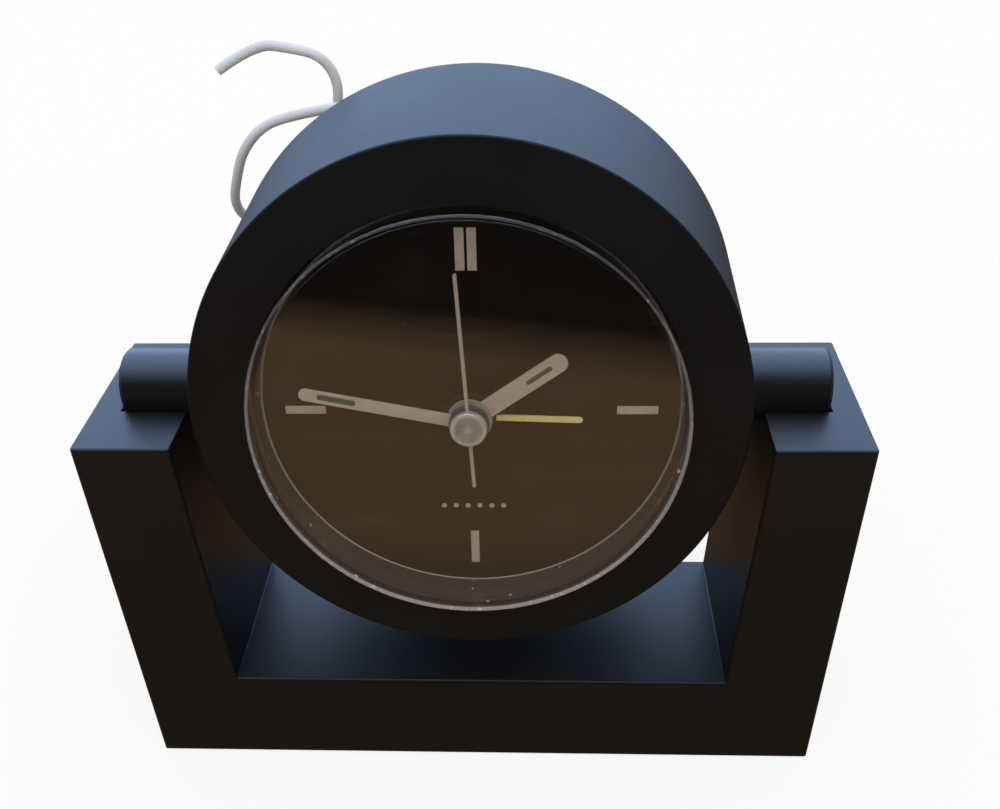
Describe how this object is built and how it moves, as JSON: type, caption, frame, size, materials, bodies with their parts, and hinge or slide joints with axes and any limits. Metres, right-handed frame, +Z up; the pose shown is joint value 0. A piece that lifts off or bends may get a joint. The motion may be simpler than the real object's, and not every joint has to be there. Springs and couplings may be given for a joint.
{
  "type": "desk alarm clock",
  "caption": "Black desk alarm clock: a drum with a clear raised crystal hangs by side trunnions in a U-shaped stand, with baton dial, alarm hand, rear setting knobs and battery door.",
  "frame": {"origin": "middle of the stand's footprint on the table", "axes": "+X to the right of someone facing the dial, +Y to the clock's back, +Z up"},
  "size_m": [0.12, 0.0679, 0.1144],
  "materials": {
    "black_plastic": "satin black moulded plastic",
    "foot_pad": "thin dark pad",
    "screw_steel": "plain screws",
    "clear_crystal": "clear moulded crystal",
    "dial_paint": "dark dial with cream markers",
    "movement_plastic": "pale moulded plastic",
    "gear_plastic": "pale low-friction plastic",
    "magnet": "dark magnet",
    "lamination": "stamped lamination",
    "winding_wire": "enamelled copper wire",
    "contact_metal": "springy contact metal",
    "nickel": "nickel plate",
    "board": "brown laminate",
    "hand_paint": "cream painted hands",
    "alarm_paint": "yellow painted hand",
    "lume": "pale green fill",
    "cap": "glossy cap",
    "brass": "turned brass",
    "buzzer_case": "black buzzer can",
    "battery_can": "plain cell wrapper",
    "lead_sheath": "pale grey sheath"
  },
  "bodies": {
    "stand": {"stand_frame": "black_plastic", "bottom_plate": "black_plastic", "base_pad": "foot_pad", "base_screw_1": "screw_steel", "base_screw_2": "screw_steel"},
    "drum": {"housing": "black_plastic", "trunnion_left": "black_plastic", "trunnion_right": "black_plastic", "trunnion_screw_left": "screw_steel", "trunnion_screw_right": "screw_steel", "crystal": "clear_crystal", "dial_plate": "dial_paint", "carrier_plate": "movement_plastic", "carrier_screw_1": "screw_steel", "carrier_screw_2": "screw_steel", "carrier_screw_3": "screw_steel", "movement_case": "movement_plastic", "movement_screw_1": "screw_steel", "movement_screw_2": "screw_steel", "train_bridge": "movement_plastic", "stator": "lamination", "coil_core": "lamination", "coil_bobbin": "gear_plastic", "coil_winding": "winding_wire", "circuit_board": "board", "quartz_can": "nickel", "alarm_contact": "contact_metal", "rear_cover": "black_plastic", "cover_screw_1": "screw_steel", "cover_screw_2": "screw_steel", "cover_screw_3": "screw_steel", "battery": "battery_can", "contact_positive": "nickel", "contact_negative": "nickel", "buzzer": "buzzer_case", "lead_gland": "black_plastic", "lead": "lead_sheath"},
    "rotor": {"rotor": "magnet"},
    "intermediate": {"intermediate_wheel": "gear_plastic"},
    "seconds": {"seconds_wheel": "gear_plastic", "second_hand": "hand_paint", "hub_cap": "cap"},
    "third": {"third_wheel": "gear_plastic"},
    "centre": {"centre_wheel": "gear_plastic"},
    "minutes": {"cannon_pinion": "brass", "minute_hand": "hand_paint", "minute_lume": "lume"},
    "time_setting": {"minute_wheel": "gear_plastic", "time_set_knob": "black_plastic"},
    "hours": {"hour_wheel": "gear_plastic", "hour_hand": "hand_paint", "hour_lume": "lume"},
    "alarm": {"alarm_wheel": "gear_plastic", "alarm_hand": "alarm_paint"},
    "alarm_setting": {"alarm_pinion": "gear_plastic", "alarm_set_knob": "black_plastic"},
    "switch": {"alarm_switch": "black_plastic"},
    "door": {"battery_door": "black_plastic"}
  },
  "joints": [
    {"name": "drum_tilt", "type": "hinge", "parent": "stand", "child": "drum", "pos_m": [0, 0, 0.0715], "axis": [-1, 0, 0], "range_deg": [-25, 40]},
    {"name": "rotor_step", "type": "hinge", "parent": "drum", "child": "rotor", "pos_m": [-0.01465, -0.00009, 0.07062], "axis": [0, -0.9952, 0.0976], "continuous": true},
    {"name": "intermediate_turn", "type": "hinge", "parent": "drum", "child": "intermediate", "pos_m": [-0.00815, -0.0002, 0.06948], "axis": [0, -0.9952, 0.0976], "continuous": true},
    {"name": "second_hand_turn", "type": "hinge", "parent": "drum", "child": "seconds", "pos_m": [0, 0, 0.0715], "axis": [0, -0.9952, 0.0976], "continuous": true},
    {"name": "third_turn", "type": "hinge", "parent": "drum", "child": "third", "pos_m": [-0.00562, 0.00061, 0.07771], "axis": [0, -0.9952, 0.0976], "continuous": true},
    {"name": "centre_turn", "type": "hinge", "parent": "drum", "child": "centre", "pos_m": [0, 0, 0.0715], "axis": [0, -0.9952, 0.0976], "continuous": true},
    {"name": "time_set", "type": "hinge", "parent": "drum", "child": "time_setting", "pos_m": [0.00897, -0.00008, 0.07072], "axis": [0, -0.9952, 0.0976], "continuous": true},
    {"name": "minute_hand_turn", "type": "hinge", "parent": "drum", "child": "minutes", "pos_m": [0, 0, 0.0715], "axis": [0, -0.9952, 0.0976], "continuous": true},
    {"name": "hour_hand_turn", "type": "hinge", "parent": "drum", "child": "hours", "pos_m": [0, 0, 0.0715], "axis": [0, -0.9952, 0.0976], "continuous": true},
    {"name": "alarm_set", "type": "hinge", "parent": "drum", "child": "alarm_setting", "pos_m": [0.00269, 0.00098, 0.0815], "axis": [0, -0.9952, 0.0976], "continuous": true},
    {"name": "alarm_hand_turn", "type": "hinge", "parent": "drum", "child": "alarm", "pos_m": [0, 0, 0.0715], "axis": [0, -0.9952, 0.0976], "continuous": true},
    {"name": "alarm_switch_slide", "type": "slide", "parent": "drum", "child": "switch", "axis": [1, 0, 0], "range_m": [0, 0.004]},
    {"name": "battery_door_hinge", "type": "hinge", "parent": "drum", "child": "door", "pos_m": [0, 0.01853, 0.0422], "axis": [-1, 0, 0], "range_deg": [0, 85]}
  ],
  "couplings": [
    {"joint": "intermediate_turn", "follows": "rotor_step", "ratio": -0.2},
    {"joint": "second_hand_turn", "follows": "rotor_step", "ratio": 0.033333},
    {"joint": "third_turn", "follows": "rotor_step", "ratio": -0.0044444},
    {"joint": "centre_turn", "follows": "rotor_step", "ratio": 0.00055556},
    {"joint": "minute_hand_turn", "follows": "time_set", "ratio": -3},
    {"joint": "hour_hand_turn", "follows": "time_set", "ratio": -0.25},
    {"joint": "alarm_hand_turn", "follows": "alarm_set", "ratio": -0.33333}
  ]
}
